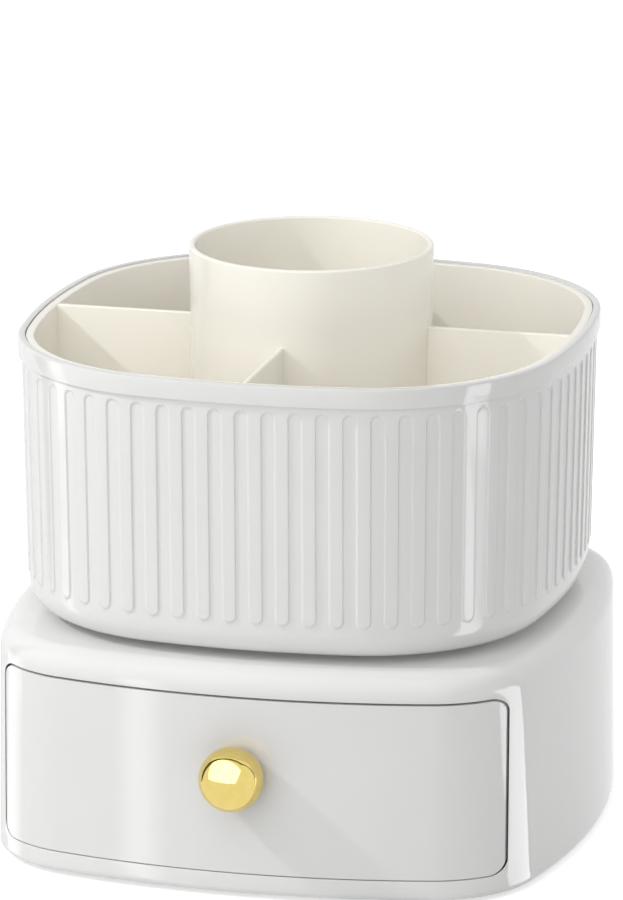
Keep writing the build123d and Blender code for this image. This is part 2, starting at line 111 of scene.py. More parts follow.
# tone: two colours and the size in mm of their drift; rough: spot size in mm, lowest, highest and detail;
# relief: size in mm, height in micrometres and detail of each layer, from the coarse to the fine
finishes = {
    # ABS from a polished tool: deep white with a hard clear gloss and faintly wavy reflections
    "whiteAbsPolished": {
        "tone": ("#ececeb", "#e7e7e6", 38.0), "rough": (1.6, 0.0595, 0.0805, 4.0),
        "relief": [(17.0, 14.0, 1.0), (0.9, 0.25, 2.0)], "shader": {"IOR": 1.53}},
    # the same in ivory with a softer gloss, and a little light that goes in and comes out
    "ivoryAbsPolished": {
        "tone": ("#faf7ee", "#f7f3e8", 38.0), "rough": (1.6, 0.17, 0.23, 4.0),
        "relief": [(17.0, 14.0, 1.0), (0.9, 0.25, 2.0)],
        "shader": {"IOR": 1.53, "Subsurface Weight": 0.06, "Subsurface Scale": 0.002,
                   "Subsurface Radius": (1.0, 0.9, 0.8)}},
    # ABS from a spark-eroded tool: the inner parts' even, dull white; its grain is drawn coarser than
    # the real 0.1 mm, so that it shows
    "satinAbsMoulded": {
        "tone": ("#e4e4e2", "#dcdcda", 38.0), "rough": (3.0, 0.38, 0.5),
        "relief": [(0.55, 9.0, 3.0)], "shader": {"IOR": 1.53}},
    # gold plate over polished brass: mirror-like, with the faintest haze
    "goldPlatePolished": {
        "tone": ("#f0db8e", "#e7cd72", 3.6), "rough": (1.2, 0.056, 0.0875, 4.0),
        "relief": [(1.2, 0.25, 2.0)], "shader": {"Metallic": 1.0}},
    # zinc plate on steel screws: bright grey, a little dull and cloudy
    "steelZincPlated": {
        "tone": ("#b9bcc0", "#a6a9ad", 2.4), "rough": (0.8, 0.256, 0.4, 4.0),
        "relief": [(0.8, 2.0, 2.0)], "shader": {"Metallic": 1.0}},
    # ground and polished bearing steel: clear mirrors with hardly a mark
    "steelBallPolished": {
        "tone": ("#cfd1d3", "#c4c6c9", 2.4), "rough": (0.8, 0.048, 0.075, 4.0),
        "relief": [(0.8, 0.1, 2.0)], "shader": {"Metallic": 1.0}},
    # natural acetal: dense, waxy off-white with dull moulded faces
    "acetalNatural": {
        "tone": ("#e6e5df", "#dddcd4", 12.0), "rough": (2.0, 0.324, 0.396),
        "relief": [(0.5, 4.0, 3.0)],
        "shader": {"IOR": 1.48, "Subsurface Weight": 0.1, "Subsurface Scale": 0.001}},
    # natural nylon: slightly yellow and cloudy
    "nylonNatural": {
        "tone": ("#ddd9cb", "#d2cdbd", 12.0), "rough": (2.0, 0.378, 0.462),
        "relief": [(0.5, 5.0, 3.0)],
        "shader": {"IOR": 1.48, "Subsurface Weight": 0.15, "Subsurface Scale": 0.001}},
    # matt black rubber of the pads: no shine, and a fine rough skin
    "rubberMatt": {
        "tone": ("#1f1f20", "#28282a", 12.0), "rough": (2.0, 0.648, 0.792),
        "relief": [(0.35, 18.0, 3.0)], "shader": {"IOR": 1.48}},
}


def makeFinish(name):
    finish = finishes[name]
    material, tree = newMaterial(name)
    place = addNode(tree, "ShaderNodeTexCoord").outputs["Object"]
    face, depth, drift = finish["tone"]
    tone = addNode(tree, "ShaderNodeMix", {"data_type": "RGBA", 6: linear(face), 7: linear(depth)},
                   {0: mottle(tree, place, drift, 0, 1)})
    surface = None
    for size, height, detail in finish["relief"]:
        surface = relief(tree, place, size, height, detail, surface)
    shader = addNode(tree, "ShaderNodeBsdfPrincipled", finish["shader"],
                     {"Base Color": tone.outputs[2], "Normal": surface,
                      "Roughness": mottle(tree, place, *finish["rough"])})
    addNode(tree, "ShaderNodeOutputMaterial", None, {"Surface": shader.outputs["BSDF"]})
    return material


slotMaterials = {slot: makeFinish(name) for slot, name in (
    ("white_gloss", "whiteAbsPolished"), ("ivory", "ivoryAbsPolished"), ("white_satin", "satinAbsMoulded"),
    ("gold", "goldPlatePolished"), ("steel", "steelZincPlated"), ("polished_steel", "steelBallPolished"),
    ("acetal", "acetalNatural"), ("cage_nylon", "nylonNatural"), ("rubber", "rubberMatt"))}
slotOfNode = {part["node"]: part["material_slot"] for part in frame["record"]["subparts"]}
for nodeName, nodeObject in frame["nodes"].items():
    nodeObject.data.materials.clear()
    nodeObject.data.materials.append(slotMaterials[slotOfNode[nodeName]])
print("materials ready")


# the outline of base and tub is a square with bowed sides: eight arcs, tangent to each other

def outlineArcs(plan):
    half, corner, bow = plan
    reach = bow - half
    middle = (sqrt(2 * (bow - corner) ** 2 - reach ** 2) - reach) / 2
    return reach, middle, asin(middle / (bow - corner))


def outlineLength(plan):
    lean = outlineArcs(plan)[2]
    return 4 * (2 * lean * plan[2] + (pi / 2 - 2 * lean) * plan[1])


def outlineStations(plan, shares):
    # for shares of the way round, from the middle of the front: arc centre, way out, arc radius
    half, corner, bow = plan
    reach, middle, lean = outlineArcs(plan)
    sideRun = 2 * lean * bow
    quarterRun = outlineLength(plan) / 4
    stations = []
    for share in shares:
        quarter, along = divmod((share % 1) * 4 * quarterRun + sideRun / 2, quarterRun)
        turn = -pi / 2 + quarter * pi / 2
        if along < sideRun:
            angle = turn - lean + along / bow
            centre = Vector((cos(turn), sin(turn))) * -reach
            radius = bow
        else:
            angle = turn + lean + (along - sideRun) / corner
            centre = Vector((cos(turn + pi / 4), sin(turn + pi / 4))) * middle * sqrt(2)
            radius = corner
        stations.append((centre, Vector((cos(angle), sin(angle))), radius))
    return stations


def evenShares(count):
    return [index / count for index in range(count)]


def loftedShell(stations, rows):
    # rings joined to a closed shell: a row is a level and either an inset from the outline or a round
    # radius about the axis; a vertex keeps the number of its station when its ring is extruded
    bm = bmesh.new()
    mark = bm.verts.layers.int.new("station")
    ring = bmesh.ops.create_circle(bm, segments=len(stations), radius=1.0)["verts"]
    for index, vert in enumerate(ring):
        vert[mark] = index
    firstRing = set(ring)
    edges = bm.edges[:]
    for index, (kind, size, level) in enumerate(rows):
        if index:
            made = bmesh.ops.extrude_edge_only(bm, edges=edges)["geom"]
            ring = [item for item in made if isinstance(item, bmesh.types.BMVert)]
            inRing = set(ring)
            edges = [item for item in made if isinstance(item, bmesh.types.BMEdge)
                     and item.verts[0] in inRing and item.verts[1] in inRing]
        for vert in ring:
            centre, way, radius = stations[vert[mark]]
            if kind == "round":
                flat = (centre + way * radius).normalized() * size
            else:
                inset = size(vert[mark]) if callable(size) else size
                flat = centre + way * (radius - inset)
            vert.co = (flat.x, flat.y, level)
    firstEdges = [edge for edge in bm.edges
                  if edge.verts[0] in firstRing and edge.verts[1] in firstRing]
    bmesh.ops.bridge_loops(bm, edges=firstEdges + edges)
    return bm


def arcPoints(across, level, radius, start, end, steps):
    # points of a rounding about a centre: 0 degrees adds to the first measure, 90 goes up
    points = []
    for step in range(steps + 1):
        angle = radians(start + (end - start) * step / steps)
        points.append((across + radius * cos(angle), level + radius * sin(angle)))
    return points


def arcRows(kind, across, level, radius, start, end, steps):
    return [(kind, size, height) for size, height in arcPoints(across, level, radius, start, end, steps)]


def evenLevels(low, high, steps):
    return [low + (high - low) * step / steps for step in range(steps + 1)]


def spunProfile(points, steps):
    # points are radius and height; the profile turns once about the Z axis
    bm = bmesh.new()
    verts = [bm.verts.new((radius, 0, height)) for radius, height in points]
    edges = [bm.edges.new(pair) for pair in zip(verts, verts[1:])]
    bmesh.ops.spin(bm, geom=verts + edges, cent=(0, 0, 0), axis=(0, 0, 1), angle=2 * pi,
                   steps=steps, use_merge=True)
    bmesh.ops.remove_doubles(bm, verts=bm.verts, dist=1e-4)
    return bm


def edgesWhere(bm, test):
    return [edge for edge in bm.edges if all(test(vert) for vert in edge.verts)]


def bevelEdges(bm, edges, offset, segments):
    bmesh.ops.bevel(bm, geom=edges, affect="EDGES", offset=offset, offset_type="OFFSET",
                    segments=segments, profile=0.5, material=-1)


def toObject(bm, name):
    mesh = bpy.data.meshes.new(name)
    bm.to_mesh(mesh)
    bm.free()
    made = bpy.data.objects.new(name, mesh)
    bpy.context.scene.collection.objects.link(made)
    return made


def placePiece(bm, name, body, slotName, node, sharp=38.0):
    # from millimetres about the turntable axis to metres in the part's frame
    bmesh.ops.remove_doubles(bm, verts=bm.verts, dist=1e-5)
    bmesh.ops.recalc_face_normals(bm, faces=bm.faces)
    bm.transform(Matrix.Translation((0, axisY, 0)) @ Matrix.Scale(mm, 4))
    piece = toObject(bm, name)
    piece.data.shade_smooth()
    piece.data.set_sharp_from_angle(angle=radians(sharp))
    piece.data.materials.append(slotMaterials[slotName])
    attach(piece, body)
    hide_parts(node)
    return piece


# base shell, with the window of the drawer cut through its front; a plan is half the width, the
# corners' radius and the sides' radius, and a draft is in degrees
base = {
    "plan": (105.0, 40.7, 284.0), "draft": 0.7, "bottom": 1.5, "top": 82.6, "wall": 2.4,
    "topRound": 8.0, "bottomRound": 2.5, "wellRadius": 77.0, "wellFloor": 73.0,
    "wellThick": 2.4, "hubRadius": 10.0, "hubTop": 79.8, "hubDrop": 7.0, "bore": 3.1,
    "columns": 480, "sideLevels": (8.0, 25.0, 45.0, 60.0), "innerLevel": 40.0, "lipRound": 0.6,
    "windowHalf": 90.0, "windowLow": 9.8, "windowTop": 72.1, "windowCorner": 4.5,
    "seam": 0.8, "windowEase": 0.3, "cutFrom": -107.0, "cutDepth": 40.0,
    # what the screws of the bottom plate and of the lower race go into: radius, low and high
    "posts": (3.4, 4.5, 79.3), "postPlaces": ((95.2, 40.0), (-95.2, 40.0), (-95.2, -40.0), (95.2, -40.0)),
    "bosses": (3.6, 64.6, 70.8), "bossRing": 69.5,
}
baseLean = tan(radians(base["draft"]))


def baseInset(level, inset=0.0):
    return inset + (level - base["bottom"]) * baseLean


def baseFrontY(x, level, inset=0.0):
    # the front surface at a place across the drawer
    half, corner, bow = base["plan"]
    reach, middle, lean = outlineArcs(base["plan"])
    away = baseInset(level, inset)
    if abs(x) <= (bow - away) * sin(lean):
        return reach - sqrt((bow - away) ** 2 - x ** 2)
    return -middle - sqrt((corner - away) ** 2 - (abs(x) - middle) ** 2)


def baseRows():
    top, bottom, wall, lip = base["top"], base["bottom"], base["wall"], base["lipRound"]
    topRound, bottomRound = base["topRound"], base["bottomRound"]
    hub, bore, well, floor = base["hubRadius"], base["bore"], base["wellRadius"], base["wellFloor"]
    under = floor - base["wellThick"]
    turnLow, turnTop = bottom + bottomRound, top - topRound
    upright = 180 - base["draft"]
    rows = [("plan", baseInset(bottom, wall), bottom), ("plan", baseInset(bottom, bottomRound), bottom)]
    rows += arcRows("plan", baseInset(turnLow, bottomRound), turnLow, bottomRound, 270, upright, 6)[1:]
    rows += [("plan", baseInset(level), level) for level in base["sideLevels"]]
    rows += arcRows("plan", baseInset(turnTop, topRound), turnTop, topRound, upright, 90, 14)
    # over the lip, down the well, up the hub and through its bore, then back inside the wall
    rows += arcRows("round", well + lip, top - lip, lip, 90, 180, 4)
    rows += [("round", size, level) for size, level in (
        (well, floor), (hub, floor), (hub, base["hubTop"]), (bore, base["hubTop"]),
        (bore, under - base["hubDrop"]), (hub, under - base["hubDrop"]), (hub, under),
        (well + wall, under), (well + wall, top - wall))]
    rows += arcRows("plan", baseInset(turnTop, topRound), turnTop, topRound - wall, 90, upright, 6)
    return rows + [("plan", baseInset(base["innerLevel"], wall), base["innerLevel"])]


def roundedWindow(halfWidth, low, high, corner, depth):
    # flat rounded rectangle in XZ with some depth along +Y, its face at y = 0
    bm = bmesh.new()
    quad = bmesh.ops.create_grid(bm, x_segments=1, y_segments=1, size=0.5)["verts"]
    bmesh.ops.scale(bm, verts=quad, vec=(2 * halfWidth, high - low, 1))
    bmesh.ops.rotate(bm, verts=quad, cent=(0, 0, 0), matrix=Matrix.Rotation(pi / 2, 3, "X"))
    bmesh.ops.translate(bm, verts=quad, vec=(0, 0, (low + high) / 2))
    bmesh.ops.bevel(bm, geom=quad, affect="VERTICES", offset=corner, offset_type="OFFSET",
                    segments=10, profile=0.5, material=-1)
    made = bmesh.ops.extrude_face_region(bm, geom=bm.faces[:])["geom"]
    moved = [item for item in made if isinstance(item, bmesh.types.BMVert)]
    bmesh.ops.translate(bm, verts=moved, vec=(0, depth, 0))
    bmesh.ops.recalc_face_normals(bm, faces=bm.faces)
    return bm


def cutAway(body, cutter):
    # takes one closed shape out of another
    kept, taken = toObject(body, "shellDraft"), toObject(cutter, "windowCutter")
    bpy.context.view_layer.update()
    change = kept.modifiers.new("cut", "BOOLEAN")
    change.operation = "DIFFERENCE"
    change.solver = "EXACT"
    change.object = taken
    cut = bpy.data.meshes.new_from_object(
        kept.evaluated_get(bpy.context.evaluated_depsgraph_get()))
    for draft in (kept, taken):
        bpy.data.objects.remove(draft)
    bm = bmesh.new()
    bm.from_mesh(cut)
    bmesh.ops.remove_doubles(bm, verts=bm.verts, dist=0.02)
    return bm


def easeWindow(bm):
    # the mould's tiny rounding along the window's outer edge
    onWall, onFront, frontSide, sharpEdge = 0.03, 0.06, -40, radians(20)
    half = base["windowHalf"] + base["seam"]
    low, high = base["windowLow"] - base["seam"], base["windowTop"] + base["seam"]
    corner = base["windowCorner"] + base["seam"]

    def onRim(vert):
        x, y, z = vert.co
        if y > frontSide or abs(x) > half + 0.01:
            return False
        across = max(abs(x) - (half - corner), 0)
        upward = max(abs(z - (low + high) / 2) - ((high - low) / 2 - corner), 0)
        return abs(hypot(across, upward) - corner) < onWall and abs(y - baseFrontY(x, z)) < onFront
    rim = {vert for vert in bm.verts if onRim(vert)}
    edges = [edge for edge in edgesWhere(bm, lambda vert: vert in rim)
             if len(edge.link_faces) == 2 and edge.calc_face_angle() > sharpEdge]
    print("window edges eased:", len(edges))
    bmesh.ops.bevel(bm, geom=edges, affect="EDGES", offset=base["windowEase"], offset_type="OFFSET",
                    segments=3, profile=0.5, material=-1, clamp_overlap=True)


def addPost(bm, radius, low, high, x, y, segments):
    bmesh.ops.create_cone(bm, cap_ends=True, segments=segments, radius1=radius, radius2=radius,
                          depth=high - low, matrix=Matrix.Translation((x, y, (low + high) / 2)))


def buildBaseShell():
    shell = loftedShell(outlineStations(base["plan"], evenShares(base["columns"])), baseRows())
    bmesh.ops.recalc_face_normals(shell, faces=shell.faces)
    seam = base["seam"]
    window = roundedWindow(base["windowHalf"] + seam, base["windowLow"] - seam,
                           base["windowTop"] + seam, base["windowCorner"] + seam, base["cutDepth"])
    bmesh.ops.translate(window, verts=window.verts, vec=(0, base["cutFrom"], 0))
    bm = cutAway(shell, window)
    easeWindow(bm)
    for x, y in base["postPlaces"]:
        addPost(bm, *base["posts"], x, y, 24)
    for quarter in range(4):
        angle = pi / 4 + quarter * pi / 2
        addPost(bm, *base["bosses"], base["bossRing"] * cos(angle), base["bossRing"] * sin(angle), 32)
    return bm


baseShell = placePiece(buildBaseShell(), "baseShellMoulding", "base", "white_gloss", "base_shell", 32.0)
print("base shell made")


# drawer front: a flat rounded panel, cut fine and laid on the base's curve
front = {
    "thick": 3.0, "thinnest": 0.6, "ease": 0.35, "innerEase": 0.3, "lowReach": 0.35,
    "columns": 480, "frontSide": -50.0, "reach": 91.0,
    "rows": (14.0, 18.0, 30.0, 41.0, 52.0, 64.0, 68.0),
}


def sliceAt(bm, place, normal):
    bmesh.ops.bisect_plane(bm, geom=bm.verts[:] + bm.edges[:] + bm.faces[:], dist=1e-5,
                           plane_co=place, plane_no=normal)


def buildDrawerFront():
    thick, reach = front["thick"], front["reach"]
    bm = roundedWindow(base["windowHalf"], base["windowLow"] - front["lowReach"], base["windowTop"],
                       base["windowCorner"], thick)
    bevelEdges(bm, edgesWhere(bm, lambda vert: abs(vert.co.y) < 1e-6), front["ease"], 3)
    bevelEdges(bm, edgesWhere(bm, lambda vert: abs(vert.co.y - thick) < 1e-6), front["innerEase"], 2)
    places = [centre + way * radius for centre, way, radius
              in outlineStations(base["plan"], evenShares(front["columns"]))]
    for x in sorted(place.x for place in places
                    if place.y < front["frontSide"] and abs(place.x) < reach):
        sliceAt(bm, (x, 0, 0), (1, 0, 0))
    for level in front["rows"]:
        sliceAt(bm, (0, 0, level), (0, 0, 1))
    for vert in bm.verts:
        x, depth, level = vert.co
        outwards = 1 - depth / thick
        outer = baseFrontY(x, level)
        inner = max(baseFrontY(min(max(x, -reach), reach), level, thick), outer + front["thinnest"])
        vert.co.y = outer * outwards + inner * (1 - outwards)
    return bm


drawerFront = placePiece(buildDrawerFront(), "drawerFrontPanel", "drawer", "white_gloss",
                         "drawer_front", 30.0)
print("drawer front made")


# ball knob: a ball with a flat back, its centre some way out from the front
knob = {"radius": 11.4, "level": 45.5, "out": 7.6, "sink": 0.12, "steps": 96, "rings": 48}


def buildKnob():
    radius = knob["radius"]
    back = knob["out"] + knob["sink"]  # the flat back reaches the hollow of the bowed front
    points = [(0.0, -back)] + arcPoints(0, 0, radius, -degrees(asin(back / radius)), 90, knob["rings"])
    points[-1] = (0.0, radius)
    bm = spunProfile(points, knob["steps"])
    bmesh.ops.rotate(bm, verts=bm.verts, cent=(0, 0, 0), matrix=Matrix.Rotation(pi / 2, 3, "X"))
    centreY = baseFrontY(0, knob["level"]) - knob["out"]
    bmesh.ops.translate(bm, verts=bm.verts, vec=(0, centreY, knob["level"]))
    return bm


ballKnob = placePiece(buildKnob(), "ballKnob", "drawer", "gold", "drawer_knob")
print("knob made")


# fluted tub
tub = {
    "plan": (99.2, 69.0, 258.2), "draft": 1.1, "bottom": 84.8, "bottomRound": 9.5, "top": 182.6,
    "band": 7.0, "step": 1.2, "rimRound": 0.9, "wall": 2.2, "floor": 2.6,
    "flutes": 68, "depth": 0.6, "foot": 97.0, "grooveTop": 173.0, "softEdge": 0.45, "endSoftness": 0.35,
    "seatOuter": 74.0, "seatInner": 55.0, "seatLow": 82.8, "hubRadius": 10.0, "hubLow": 80.2,
    "hubHigh": 91.5, "bore": 5.05, "rebate": 1.5, "rebateLow": 180.5,
    "firstLevel": 94.8, "midLevels": (118.0, 146.0), "innerLevel": 130.0, "endSteps": 10,
    "endReach": 0.7, "endPast": 0.2, "bandTurn": 0.25, "rebateTurn": 0.2,
    "underBand": (0.9, 0.35), "bandFillet": ((0.03, 0.1), (0.12, 0.0)),
    # places across one groove and rib, in shares of the pitch, closest where the wall turns
    "columns": (0.0, 0.08, 0.16, 0.21, 0.232, 0.244, 0.256, 0.268, 0.29, 0.34, 0.42,
                0.5, 0.58, 0.66, 0.71, 0.732, 0.744, 0.756, 0.768, 0.79, 0.84, 0.92),
}
tubLean = tan(radians(tub["draft"]))
bandLow = tub["top"] - tub["band"]


def tubInset(level, inset=0.0):
    return tub["step"] + inset + (bandLow - level) * tubLean


footInset = tubInset(tub["foot"], tub["depth"])
footPlan = tuple(size - footInset for size in tub["plan"])
flutePitch = outlineLength(footPlan) / tub["flutes"]
grooveHalf = flutePitch / 4


def fluteInset(station, level):
    # how far the wall lies under the ribs' crests at a column and a level
    across = tub["columns"][station % len(tub["columns"])] * flutePitch
    fromGroove = min(across, flutePitch - across)
    fromRib = flutePitch / 2 - fromGroove
    footLevel = tub["foot"] + grooveHalf
    grooveLevel = tub["grooveTop"] - grooveHalf
    beyond = 0.0
    if level < footLevel:
        beyond = footLevel - level
        raised = grooveHalf - hypot(fromRib, beyond)
    elif level > grooveLevel:
        beyond = level - grooveLevel
        raised = hypot(fromGroove, beyond) - grooveHalf
    else:
        raised = fromGroove - grooveHalf
    width = tub["softEdge"] + tub["endSoftness"] * min(beyond / grooveHalf, 1)
    share = min(max(raised / width + 0.5, 0), 1)
    return tub["depth"] * (1 - share * share * (3 - 2 * share))


def tubRows():
    bottom, turn, top, deep = tub["bottom"], tub["bottomRound"], tub["top"], tub["depth"]
    wall, edge, rimRound, corner = deep + tub["wall"], tub["bandTurn"], tub["rimRound"], tub["rebateTurn"]
    rows = arcRows("plan", tubInset(bottom + turn, deep + turn), bottom + turn, turn,
                   270, 180 + tub["draft"], 7)
    # fine rows where the flutes end, and few between
    foot, grooveTop, past = tub["foot"], tub["grooveTop"], tub["endPast"]
    end = tub["softEdge"] * tub["endReach"]
    levels = [tub["firstLevel"]]
    levels += evenLevels(foot - end, foot + grooveHalf + past, tub["endSteps"])
    levels += tub["midLevels"]
    levels += evenLevels(grooveTop - grooveHalf - past, grooveTop + end, tub["endSteps"])
    levels += [bandLow - drop for drop in tub["underBand"]]
    for level in levels:
        rows.append(("plan", lambda station, at=level: tubInset(at) + fluteInset(station, at), level))
    # fillet under the band, then the band with its softened edges
    rows += [("plan", tubInset(bandLow, -out), bandLow - drop) for out, drop in tub["bandFillet"]]
    rows += arcRows("plan", edge, bandLow + edge, edge, 270, 180, 3)
    rows += arcRows("plan", rimRound, top - rimRound, rimRound, 180, 90, 5)
    # the rebate for the liner's flange, then down inside the wall to the floor
    rebate, rebateLow = tub["rebate"], tub["rebateLow"]
    rows += arcRows("plan", tubInset(top, rebate) - corner, top - corner, corner, 90, 0, 2)
    rows += [("plan", tubInset(level, inset), level) for inset, level in (
        (rebate, rebateLow), (wall, rebateLow), (wall, tub["innerLevel"]))]
    inside, innerTurn = bottom + tub["floor"], turn - tub["floor"]
    rows += arcRows("plan", tubInset(inside + innerTurn, wall + innerTurn), inside + innerTurn,
                    innerTurn, 180, 270, 2)
    # hub with its bore, and the seat of the upper race
    hub, bore = tub["hubRadius"], tub["bore"]
    return rows + [("round", size, level) for size, level in (
        (hub, inside), (hub, tub["hubHigh"]), (bore, tub["hubHigh"]), (bore, tub["hubLow"]),
        (hub, tub["hubLow"]), (hub, bottom), (tub["seatInner"], bottom),
        (tub["seatInner"], tub["seatLow"]), (tub["seatOuter"], tub["seatLow"]), (tub["seatOuter"], bottom))]


def buildTub():
    shares = [(flute + column) / tub["flutes"] for flute in range(tub["flutes"]) for column in tub["columns"]]
    stations = [(centre, way, radius + footInset)
                for centre, way, radius in outlineStations(footPlan, shares)]
    return loftedShell(stations, tubRows())


tubShell = placePiece(buildTub(), "tubShellFluted", "tub", "white_gloss", "tub_shell", 50.0)
print("tub made:", len(tubShell.data.polygons), "faces")


# ivory liner, whose flange lies in the tub's rebate
liner = {
    "inset": 3.1, "wall": 1.6, "low": 91.5, "inside": 93.5, "innerRound": 3.0, "flangeOut": 1.3,
    "flangeThick": 1.6, "flangeRound": 0.25, "top": 182.1, "lipRound": 0.5, "hole": 15.0,
    "innerLevels": (160.0, 125.0), "columns": 480,
    "spigotOuter": 38.87, "spigotInner": 36.87, "spigotTop": 97.5,
}
linerWall = liner["inset"] + liner["wall"]


def linerRows():
    outer, top, inside, low = liner["inset"] - liner["flangeOut"], liner["top"], liner["inside"], liner["low"]
    turn, edge, lip = liner["innerRound"] + liner["wall"], liner["flangeRound"], liner["lipRound"]
    under = top - liner["flangeThick"]
    rows = [("round", liner["hole"], low)]
    rows += arcRows("plan", tubInset(low + turn, liner["inset"] + turn), low + turn, turn, 270, 180, 4)
    rows += [("plan", tubInset(under, liner["inset"]), under), ("plan", tubInset(under, outer), under)]
    rows += arcRows("plan", tubInset(top, outer + edge), top - edge, edge, 180, 90, 3)
    rows += arcRows("plan", tubInset(top, linerWall - lip), top - lip, lip, 90, 0, 4)
    rows += [("plan", tubInset(level, linerWall), level) for level in liner["innerLevels"]]
    turn = liner["innerRound"]
    rows += arcRows("plan", tubInset(inside + turn, linerWall + turn), inside + turn, turn, 180, 270, 6)
    return rows + [("round", size, level) for size, level in (
        (liner["spigotOuter"], inside), (liner["spigotOuter"], liner["spigotTop"]),
        (liner["spigotInner"], liner["spigotTop"]), (liner["spigotInner"], inside),
        (liner["hole"], inside))]


linerStations = outlineStations(tub["plan"], evenShares(liner["columns"]))
linerPiece = placePiece(loftedShell(linerStations, linerRows()), "compartmentLinerTray", "tub",
                        "ivory", "compartment_liner")

# brush cup
cup = {"rim": 43.3, "top": 209.8, "draft": 1.0, "wall": 2.2, "floorLow": 101.5, "floor": 2.4,
       "edgeRound": 0.9, "innerRound": 3.0, "foot": 93.5, "midLevel": 150.0, "steps": 160}
cupLean = tan(radians(cup["draft"]))


def cupRadius(level):
    return cup["rim"] - (cup["top"] - level) * cupLean


def buildCup():
    turn, wall, inner, rim = cup["edgeRound"], cup["wall"], cup["innerRound"], cup["rim"]
    crest, floor, foot, middle = cup["top"] - turn, cup["floorLow"] + cup["floor"], cup["foot"], cup["midLevel"]
    points = [(cupRadius(foot), foot), (cupRadius(middle), middle)]
    points += arcPoints(rim - turn, crest, turn, 0, 90, 6)
    points += arcPoints(rim - wall + turn, crest, turn, 90, 180, 6)
    points.append((cupRadius(middle) - wall, middle))
    points += arcPoints(cupRadius(floor) - wall - inner, floor + inner, inner, 0, -90, 6)
    points += [(0.0, floor), (0.0, cup["floorLow"]), (cupRadius(foot) - wall, cup["floorLow"]),
               (cupRadius(foot) - wall, foot), points[0]]
    return spunProfile(points, cup["steps"])


cupPiece = placePiece(buildCup(), "brushCupRound", "tub", "ivory", "brush_cup")

# dividers, which sink a little into the cup and the liner
vane = {"thick": 2.0, "top": 182.0, "round": 0.7, "sink": 0.25, "sinkBelow": 0.1, "heel": 1.6,
        "outerEnd": 60.0}


def buildDivider(turn):
    bm = bmesh.new()
    for vert in bmesh.ops.create_cube(bm, size=1.0)["verts"]:
        level = vane["top"] if vert.co.z > 0 else liner["inside"] - vane["sinkBelow"]
        if vert.co.x > 0:
            x = tub["plan"][0] - tubInset(level, linerWall) + vane["sink"]
        else:
            x = cupRadius(level) - vane["sink"]
        vert.co = (x, vert.co.y * vane["thick"], level)
    crest = [edge for edge in edgesWhere(bm, lambda vert: abs(vert.co.z - vane["top"]) < 1e-6)
             if abs(edge.verts[0].co.y - edge.verts[1].co.y) < 1e-6]
    bevelEdges(bm, crest, vane["round"], 4)
    heel = edgesWhere(bm, lambda vert: vert.co.z < liner["inside"] and vert.co.x > vane["outerEnd"])
    bevelEdges(bm, heel, vane["heel"], 3)
    bmesh.ops.rotate(bm, verts=bm.verts, cent=(0, 0, 0), matrix=Matrix.Rotation(radians(turn), 3, "Z"))
    return bm


vanes = [placePiece(buildDivider(turn), f"dividerVane_{side}", "tub", "ivory", f"divider_{side}")
         for side, turn in (("right", 0), ("back", 90), ("left", 180), ("front", 270))]
print("liner, cup and dividers made")


# camera; angles are in degrees, and the azimuth counts from the front to the right
photoCamera = {
    "azimuth": 14.33, "elevation": 15.47, "distance": 2.5568, "turnLevel": 0.11032, "aimLevel": 0.134,
    "lens": 286.63, "sensor": 36.0,
}


def wayOut(azimuth, elevation):
    a, e = radians(azimuth), radians(elevation)
    return Vector((sin(a) * cos(e), -cos(a) * cos(e), sin(e)))


toCamera = wayOut(photoCamera["azimuth"], photoCamera["elevation"])


def buildCamera():
    data = bpy.data.cameras.new("photoCamera")
    data.sensor_width = photoCamera["sensor"]
    data.lens = photoCamera["lens"]
    data.clip_start, data.clip_end = 0.05, 50.0
    camera = bpy.data.objects.new("photoCamera", data)
    bpy.context.scene.collection.objects.link(camera)
    camera.location = Vector((0, axisY, photoCamera["turnLevel"])) + toCamera * photoCamera["distance"]
    aim = Vector((0, axisY, photoCamera["aimLevel"]))
    camera.rotation_mode = "QUATERNION"
    camera.rotation_quaternion = (camera.location - aim).to_track_quat("Z", "Y")
    bpy.context.scene.camera = camera


# floor and world
studio = {
    "horizon": 0.42, "zenith": 0.36, "rightDrop": 0.2, "dropAzimuth": 40.0, "skyTint": "#ffffff",
    "mirrored": 1.0, "floorColour": "#f4f4f4", "floorGlow": 0.6, "floorSize": 4.0,
    "middle": 0.1,  # the level in metres that lamps and softbox face
}
white = (1, 1, 1, 1)


def stageSheet(bm, name, material, unseenBy):
    # a sheet of the studio, which isn't part of the object
    sheet = toObject(bm, name)
    sheet.data.materials.append(material)
    for ray in unseenBy:
        setattr(sheet, "visible_" + ray, False)
    sheet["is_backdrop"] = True
    return sheet


def buildFloor():
    bm = bmesh.new()
    bmesh.ops.create_grid(bm, x_segments=1, y_segments=1, size=studio["floorSize"])
    material, tree = newMaterial("floorPaperWhite")
    # seamless paper: its own shade and shadow, lifted to white where the camera looks straight at it
    paper = addNode(tree, "ShaderNodeBsdfDiffuse", {"Color": linear(studio["floorColour"])})
    glow = addNode(tree, "ShaderNodeEmission", {"Color": white, "Strength": studio["floorGlow"]})
    both = addNode(tree, "ShaderNodeAddShader", None, {0: paper.outputs[0], 1: glow.outputs[0]})
    rays = addNode(tree, "ShaderNodeLightPath")
    mix = addNode(tree, "ShaderNodeMixShader", None,
                  {0: rays.outputs["Is Camera Ray"], 1: paper.outputs[0], 2: both.outputs[0]})
    addNode(tree, "ShaderNodeOutputMaterial", None, {"Surface": mix.outputs[0]})
    # upright glossy walls mirror the studio, and not the floor
    stageSheet(bm, "floorSheet", material, ["glossy"])


